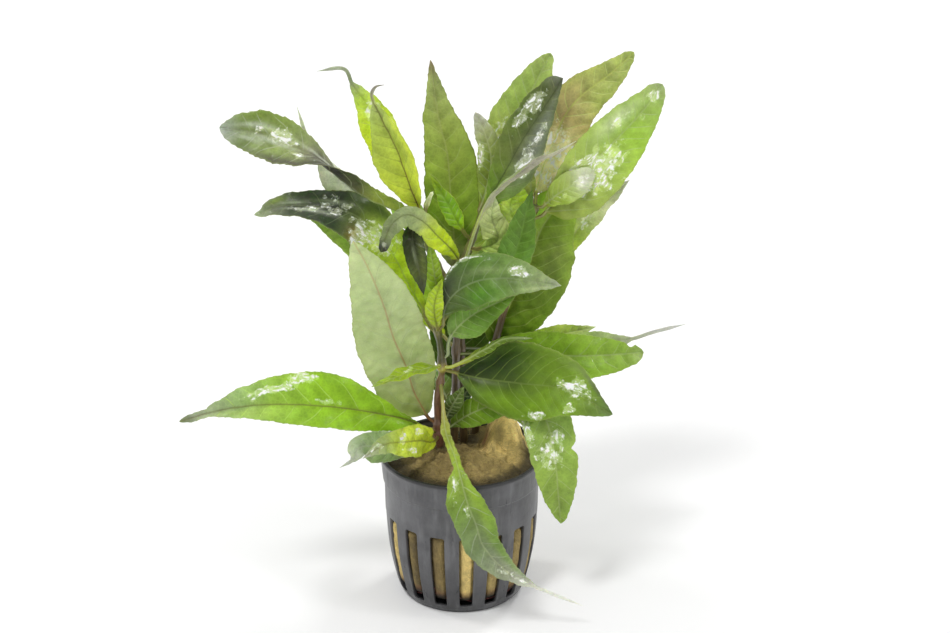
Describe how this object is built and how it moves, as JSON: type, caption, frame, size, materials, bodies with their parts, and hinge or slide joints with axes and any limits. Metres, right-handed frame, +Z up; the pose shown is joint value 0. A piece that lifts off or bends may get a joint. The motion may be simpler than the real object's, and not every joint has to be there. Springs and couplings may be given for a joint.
{
  "type": "potted aquarium plant",
  "caption": "Leafy lance-leaved water plant with slender stems and wet glossy leaves, rooted in rock wool in a round slotted net pot.",
  "frame": {"origin": "middle of the pot's flat foot, on the floor", "axes": "+Z up along the pot's axis, -Y towards the side that the picture shows, +X to the viewer's right"},
  "size_m": [0.1672, 0.0975, 0.1851],
  "materials": {
    "pot": "satin black moulded plastic",
    "wool": "wet matted mineral fibre",
    "stem": "smooth reddish-brown soft stem",
    "leaf": "wet, glossy, thin and soft"
  },
  "bodies": {
    "root": {"net_pot": "pot", "rock_wool": "wool", "stem_front": "stem", "stem_left": "stem", "stem_middle": "stem", "stem_right": "stem", "leaf_twisted_left": "leaf", "leaf_pale_left": "leaf", "leaf_hanging_dark": "leaf", "leaf_yellow_front": "leaf", "leaf_yellow_back": "leaf", "leaf_bud": "leaf", "leaf_arching_left": "leaf", "leaf_under_arch": "leaf", "leaf_drooping_dark": "leaf", "leaf_young_lower": "leaf", "leaf_young_upper": "leaf", "leaf_under_droop": "leaf", "leaf_hooked": "leaf", "leaf_tall_left": "leaf", "leaf_small_bright": "leaf", "leaf_small_pale": "leaf", "leaf_dark_glossy": "leaf", "leaf_strap_purple": "leaf", "leaf_top_middle": "leaf", "leaf_top_right": "leaf", "leaf_right_glossy": "leaf", "leaf_right_behind": "leaf", "leaf_right_pale": "leaf", "leaf_broad_olive": "leaf", "leaf_pointed_green": "leaf", "leaf_small_yellow": "leaf", "leaf_pale_textured": "leaf", "leaf_big_right": "leaf", "leaf_strip_right": "leaf", "leaf_edge_on": "leaf", "leaf_low_right": "leaf", "leaf_side_right": "leaf", "leaf_side_tailed": "leaf", "leaf_side_upper": "leaf", "leaf_hanging_right": "leaf", "leaf_long_left": "leaf", "leaf_rim_bright": "leaf", "leaf_rim_grey": "leaf", "leaf_over_rim": "leaf", "leaf_pale_underside": "leaf", "leaf_base_grey": "leaf", "leaf_base_dark": "leaf", "leaf_back_1": "leaf", "leaf_back_2": "leaf", "leaf_back_3": "leaf", "leaf_back_4": "leaf", "leaf_back_5": "leaf", "leaf_back_6": "leaf", "leaf_back_7": "leaf", "leaf_back_8": "leaf", "leaf_back_9": "leaf", "leaf_inner_dark": "leaf"}
  },
  "joints": []
}
